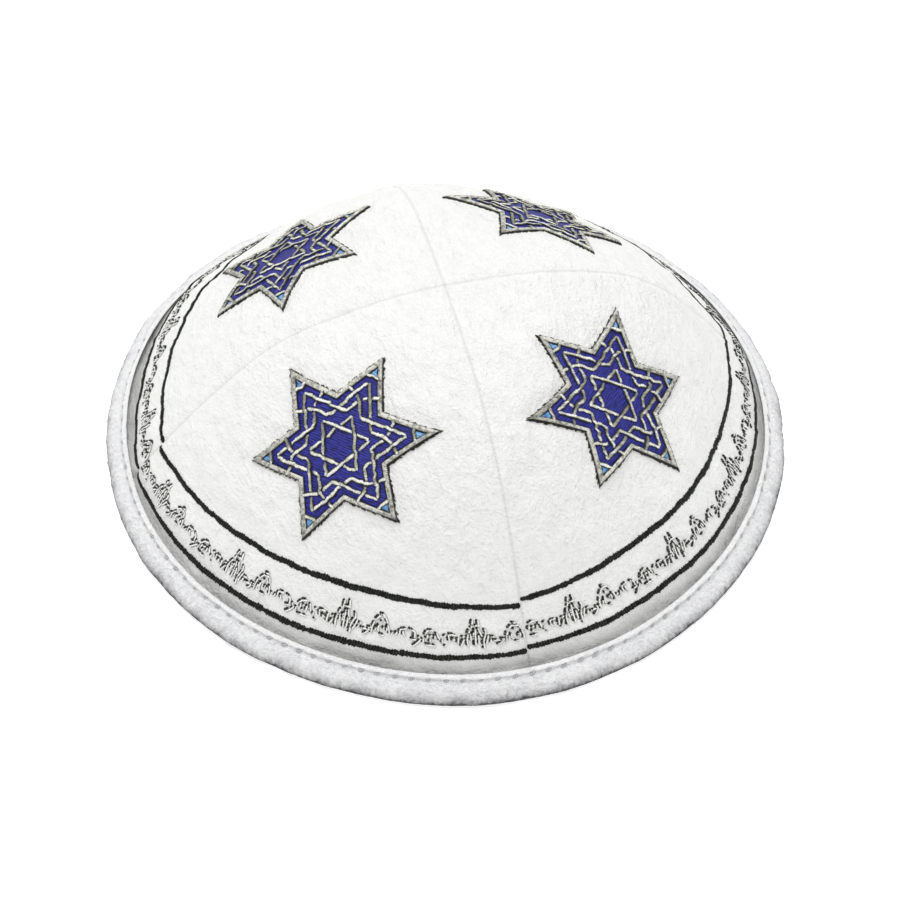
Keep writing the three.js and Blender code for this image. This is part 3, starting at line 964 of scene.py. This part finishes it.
def field_grid(quarter):
    """The field as rings: a flat underside, sunk in the cloth, out to its edge, then its top back in.

    The top falls at its edge as a high power of the way out.
    """
    outline = star_outline(EDGE_WIDTH - FIELD_TUCK, FIELD_STEPS)
    inwards = np.linspace(1, 0, TOP_RINGS)
    ring = np.concatenate([np.linspace(0, 1, UNDERSIDE_RINGS), inwards])
    top = FIELD_LIFT * (1 - inwards**EDGE_SHARPNESS)
    lift = np.concatenate([np.full(UNDERSIDE_RINGS, -FIELD_SINK), top])
    flat = outline[None] * ring[:, None, None]
    return star_point(quarter, flat, lift[:, None] + 0 * flat[..., 0]), flat


def blue_finish():
    """Royal blue embroidery thread laid side to side, with light blue in the points and a silky shine."""
    finish = Finish("blue thread", Roughness=0.55, Specular_IOR_Level=0.25)
    across, up = finish.pattern()
    wobble = finish.noise(finish.place(), 0.0024, detail=2.0, roughness=0.5)
    rib = (up * (math.tau / RIB_PITCH) + wobble * 7).ridges()
    run = finish.node("ShaderNodeCombineXYZ", {}, {"X": across * 0.45, "Y": up * 1.8})
    fleck = finish.noise(run, 1.0)
    # The near-black between ribs and flecks is partly the thread's dark blue and partly painted shade beside
    # the stitches.
    royal = finish.blend(ROYAL_DARK, ROYAL_LIGHT, rib * 0.35 + fleck.within(0.36, 0.64) * 0.65)
    pale = finish.blend(PALE_BLUE_DARK, PALE_BLUE_LIGHT, fleck.within(0.25, 0.7))
    radius = (across * across + up * up) ** 0.5
    finish.colour(finish.blend(royal, pale, radius.within(*LIGHT_POINT_ENDS)))
    finish.bump(rib * 0.7 + fleck * 0.3, 0.0002, 0.6)
    return finish


blue = blue_finish()
for quarter, name in enumerate(QUARTERS):
    field = grid_piece(f"blue_field_{name}", [field_grid(quarter)])
    fasten(field, blue, "blue_thread", f"star_field_{name}")


# The star's edge is a close row of silver-grey satin stitches over padding, each thread lying across it. The
# ends of the threads stick out unevenly, and painted shadow darkens them along both sides of the edge.
EDGE_RISE = 0.85
EDGE_THREAD = 0.5
EDGE_STEPS = 116
THREAD_SLANT = 0.45
THREAD_RIDGE = 0.28
THREAD_SPREAD = 0.35
# Satin colours for painted shade and painted highlight across each thread, the painted shadow at the threads'
# ends, and the way and the places in front where that shadow widens.
SATIN_DARK = (0.13, 0.13, 0.10, 1)
SATIN_LIGHT = (1.0, 0.99, 0.90, 1)
SATIN_SHADOW = (0.014, 0.014, 0.01, 1)
SHADED_WAY = (0.95, 0.3, 0)
FRONT_ENDS = (-0.015, 0.015)

# The edge's section, outside to inside and back below: shares of its width and of its rise, and how far the
# ends of the threads reach there, as a share of the width.
EDGE_SECTION = np.array([
    (0, -0.25, -0.2), (0.04, 0.35, -0.2), (0.2, 0.82, 0), (0.45, 1.0, 0), (0.72, 0.86, 0),
    (0.93, 0.42, 0.13), (1, 0.1, 0.13), (0.5, -0.3, 0), (0, -0.25, -0.2),
])


def edge_grid(quarter):
    """A rounded band round the outline, the section's places set off between the outer and the inner outline.

    It has one slanting ridge for each thread, shaped as a sine wave, and each thread's ends stray by chance.
    """
    across, up, ends = EDGE_SECTION.T[..., None]
    outer = star_outline(0, EDGE_STEPS)
    inner = star_outline(EDGE_WIDTH, EDGE_STEPS)
    run = run_along((outer + inner) / 2)
    threads = run / run[-1] * round(run[-1] / EDGE_THREAD)
    stray = np.append(np.random.default_rng(50 + quarter).uniform(-1, 1, int(threads[-1])), 0)
    stray[-1] = stray[0]
    ridge = np.abs(np.sin(math.pi * (threads[None] + THREAD_SLANT * across)))
    reach = stray[np.floor(threads + 1e-9).astype(int)] * (ridge[:1] ** 0.5)
    place = across + ends * (THREAD_SPREAD + reach)
    flat = outer[None] + (inner - outer)[None] * place[..., None]
    high = np.where(up > 0, up * (1 - THREAD_RIDGE + THREAD_RIDGE * ridge), up)
    points = star_point(quarter, flat, EDGE_RISE * high)
    points[:, -1] = points[:, 0]
    return points, np.stack([run + 0 * place, place * EDGE_WIDTH], axis=-1)


def satin_finish():
    """Silver-grey satin stitch: a painted highlight on the crown of each thread, painted shade between
    threads and where they run front to back, and painted shadow at their ends on both sides of the edge.

    The painted shadow at the outer ends is widest on those sides of the front stars that face the front and
    the right, away from the light.
    """
    finish = Finish("silver satin stitch", Roughness=0.5, Metallic=0.1, Specular_IOR_Level=0.4)
    along, across = finish.pattern()
    thread = (along * (math.tau / EDGE_THREAD) + across * 1.6).ridges()
    tone = finish.noise(finish.place(), 0.0010)
    # Painted highlight on each thread's crown, painted shade between threads and where they run front to
    # back.
    core = thread * 0.4 + tone.within(0.38, 0.56) * 0.7 - front_to_back_shade(finish) * 0.16
    body = finish.blend(SATIN_DARK, SATIN_LIGHT, core.within(0, 1))
    ahead = finish.part(finish.place(), "Y")
    # Painted shadow at the threads' outer and inner ends, widest on the front stars' sides facing away from
    # the light.
    shaded = finish.course(SHADED_WAY).within(-0.3, 0.7) * (1 - 0.8 * ahead.within(*FRONT_ENDS))
    outside = 1 - (across - shaded * 0.28).within(0.02, 0.34)
    inside = across.within(EDGE_WIDTH - 0.36, EDGE_WIDTH - 0.12)
    edge_shadow = (outside + inside) * (0.5 + tone * 1.3)
    finish.colour(finish.blend(body, SATIN_SHADOW, edge_shadow.within(0.15, 1)))
    finish.bump(thread, 0.0002, 0.8)
    return finish


satin = satin_finish()
for quarter, name in enumerate(QUARTERS):
    edge = grid_piece(f"satin_edge_{name}", [edge_grid(quarter)])
    fasten(edge, satin, "silver_thread", f"star_edge_{name}")


# Over the blue runs a knot of single silver threads that pass over and under one another: two lines from each
# point, bent to the neighbouring points, a short bar across each point, and a small star in the middle.
KNOT_HALF_WIDTH = 0.55
KNOT_RISE = 0.38
KNOT_STEP = 0.25
KNOT_BOW = 0.1
SMALL_STAR_TIP = 7.7
BAR_RADIUS = 18.2
BAR_HALF_LENGTH = 1.8
KNOT_LINE = [
    (0.1, 16.5), (3.0, 11.4), (5.7, 6.4), (7.4, 5.8), (9.6, 5.9), (11.5, 5.3), (13.0, 4.2), (14.5, 3.0),
]

# Threads nearer than this cross. There one rises and the other dips, over some steps to each side.
CROSSING_GAP = 0.3
CROSSING_STEPS = 3.6
OVER_RISE = 0.2
UNDER_DIP = 0.62

KNOT_STRAY = 0.12
KNOT_UNEVENNESS = 0.18
# The knot's silver: painted flank shade, painted shade where it runs front to back, and its own tones.
BRIGHT_SILVER = {
    "flank_shade": (0.02, 0.02, 0.014, 1), "shade": (0.14, 0.14, 0.105, 1),
    "low": (0.42, 0.42, 0.34, 1), "high": (1.0, 1.0, 0.93, 1),
}


def turned_line(points, turn, mirrored=False):
    """A smooth line through flat points, mirrored left to right if asked and turned by sixths of a circle."""
    angle = turn * math.pi / 3
    points = np.array(points) * ((-1, 1) if mirrored else (1, 1))
    turning = np.array([[math.cos(angle), math.sin(angle)], [-math.sin(angle), math.cos(angle)]])
    return smooth_line(points @ turning, KNOT_STEP)


def knot_paths():
    """All the threads of the knot as flat paths."""
    side = SMALL_STAR_TIP * math.sqrt(3) / 2
    middle = SMALL_STAR_TIP / 2
    edge = [(-side, middle), (0, middle + KNOT_BOW), (side, middle)]
    bar = [(-BAR_HALF_LENGTH, BAR_RADIUS), (0, BAR_RADIUS - KNOT_BOW), (BAR_HALF_LENGTH, BAR_RADIUS)]
    lines = [turned_line(KNOT_LINE, turn, mirrored) for turn in range(6) for mirrored in (False, True)]
    return lines + [turned_line(points, turn) for points in (edge, bar) for turn in range(6)]


def knot_lifts(paths):
    """The height of each thread: where two cross, one rises and the other dips, and it takes turns."""
    lifts = [np.zeros(len(path)) for path in paths]
    crossings = []
    for first in range(len(paths)):
        for second in range(first + 1, len(paths)):
            gaps = np.linalg.norm(paths[first][2:-2, None] - paths[second][None, 2:-2], axis=-1)
            here = np.unravel_index(gaps.argmin(), gaps.shape)
            if gaps[here] < CROSSING_GAP:
                crossings.append((first, here[0] + 2, second, here[1] + 2))
    met = [0] * len(paths)
    for first, step, second, other in sorted(crossings, key=lambda crossing: (crossing[0], crossing[1])):
        over = met[first] % 2 == 0
        met[first] += 1
        met[second] += 1
        for path, at, rises in ((first, step, over), (second, other, not over)):
            bump = hump(np.arange(len(paths[path])) - at, CROSSING_STEPS)
            lifts[path] += bump * (OVER_RISE if rises else -UNDER_DIP)
    return lifts


PATHS = knot_paths()
LIFTS = knot_lifts(PATHS)


def uneven_run(random, count, every):
    """A row of numbers of about -1 to 1 that drifts from one chance value to the next, every few steps."""
    marks = np.arange(0, count + every, every)
    return np.interp(np.arange(count), marks, random.normal(size=len(marks)).clip(-2, 2))


def knot_grids(quarter):
    """The threads of the knot on a star's field, a little unsteady and uneven, and pointed at both ends."""
    random = np.random.default_rng(71 + quarter)
    section = {"rise": KNOT_RISE, "sink": 0.3, "around": 8, "taper": 0.4}
    grids = []
    for path, lift in zip(PATHS, LIFTS):
        wobble = uneven_run(random, len(path), 4)[:, None] * KNOT_STRAY * random.choice([-1, 1], 2)
        half_width = KNOT_HALF_WIDTH * (1 + KNOT_UNEVENNESS * uneven_run(random, len(path), 2))
        flat, up, pattern = round_thread(path + wobble, half_width, **section, pitch=0.6, depth=0.16)
        grids.append((star_point(quarter, flat, FIELD_LIFT + up + lift[None]), pattern))
    return grids


bright_silver = silver_finish("silver thread", **BRIGHT_SILVER)
for quarter, name in enumerate(QUARTERS):
    fasten(grid_piece(f"silver_knot_{name}", knot_grids(quarter)), bright_silver, "silver_thread")


# The cap stands on a white table that glows a little, under soft light from a wide overhead panel, in a pale
# room. These sizes and places are in metres, and the lamp's power is in watts.
TABLE_HALF_WIDTH = 1.5
TABLE_GLOW = 0.4
ROOM_LIGHT = 0.585
LAMP_PLACE = Vector((-0.02, 0.2, 1.12))
LAMP_SIZE = 0.9
LAMP_POWER = 9.0

table_white = (0.97, 0.97, 0.97, 1)
table_top = Finish("light table", Base_Color=table_white, Roughness=0.9, Emission_Strength=TABLE_GLOW)
table_top.shader.inputs["Emission Color"].default_value = (1, 1, 1, 1)
table_mesh = bpy.data.meshes.new("table")
corners = [TABLE_HALF_WIDTH * Vector(corner) for corner in ((-1, -1, 0), (1, -1, 0), (1, 1, 0), (-1, 1, 0))]
table_mesh.from_pydata(corners, [], [(0, 1, 2, 3)])
table = bpy.data.objects.new("table", table_mesh)
bpy.context.scene.collection.objects.link(table)
table_mesh.materials.append(table_top.material)

room = bpy.data.worlds.new("pale room")
room.use_nodes = True
background = room.node_tree.nodes["Background"].inputs
background["Color"].default_value = (1, 1, 1, 1)
background["Strength"].default_value = ROOM_LIGHT
bpy.context.scene.world = room
bpy.context.scene.view_settings.view_transform = "Standard"

light = bpy.data.lights.new("overhead panel", "AREA")
light.size = LAMP_SIZE
light.energy = LAMP_POWER
lamp = bpy.data.objects.new("overhead panel", light)
lamp.location = LAMP_PLACE
lamp.rotation_euler = (-LAMP_PLACE).to_track_quat("-Z", "Y").to_euler()
bpy.context.scene.collection.objects.link(lamp)

# The camera looks down on the cap's front from a little to its left. The photograph is 900 pixels wide, and
# the middle of the cap's foot is a few pixels left of its middle and above it.
CAMERA_DISTANCE = 0.712
CAMERA_ELEVATION = math.radians(48.21)
CAMERA_AZIMUTH = math.radians(-104.34)
CAMERA_LENS = 112.7
SENSOR_WIDTH = 36
PHOTO_WIDTH = 900
CAP_LEFT = 5.5
CAP_ABOVE = 17.6

eye = CAMERA_DISTANCE * Vector((
    math.cos(CAMERA_ELEVATION) * math.cos(CAMERA_AZIMUTH),
    math.cos(CAMERA_ELEVATION) * math.sin(CAMERA_AZIMUTH),
    math.sin(CAMERA_ELEVATION),
))
camera = bpy.data.objects.new("camera", bpy.data.cameras.new("camera"))
camera.data.lens = CAMERA_LENS
camera.data.sensor_width = SENSOR_WIDTH
camera.data.shift_x = CAP_LEFT / PHOTO_WIDTH
camera.data.shift_y = -CAP_ABOVE / PHOTO_WIDTH
camera.location = eye
camera.rotation_euler = (-eye).to_track_quat("-Z", "Y").to_euler()
bpy.context.scene.collection.objects.link(camera)
bpy.context.scene.camera = camera
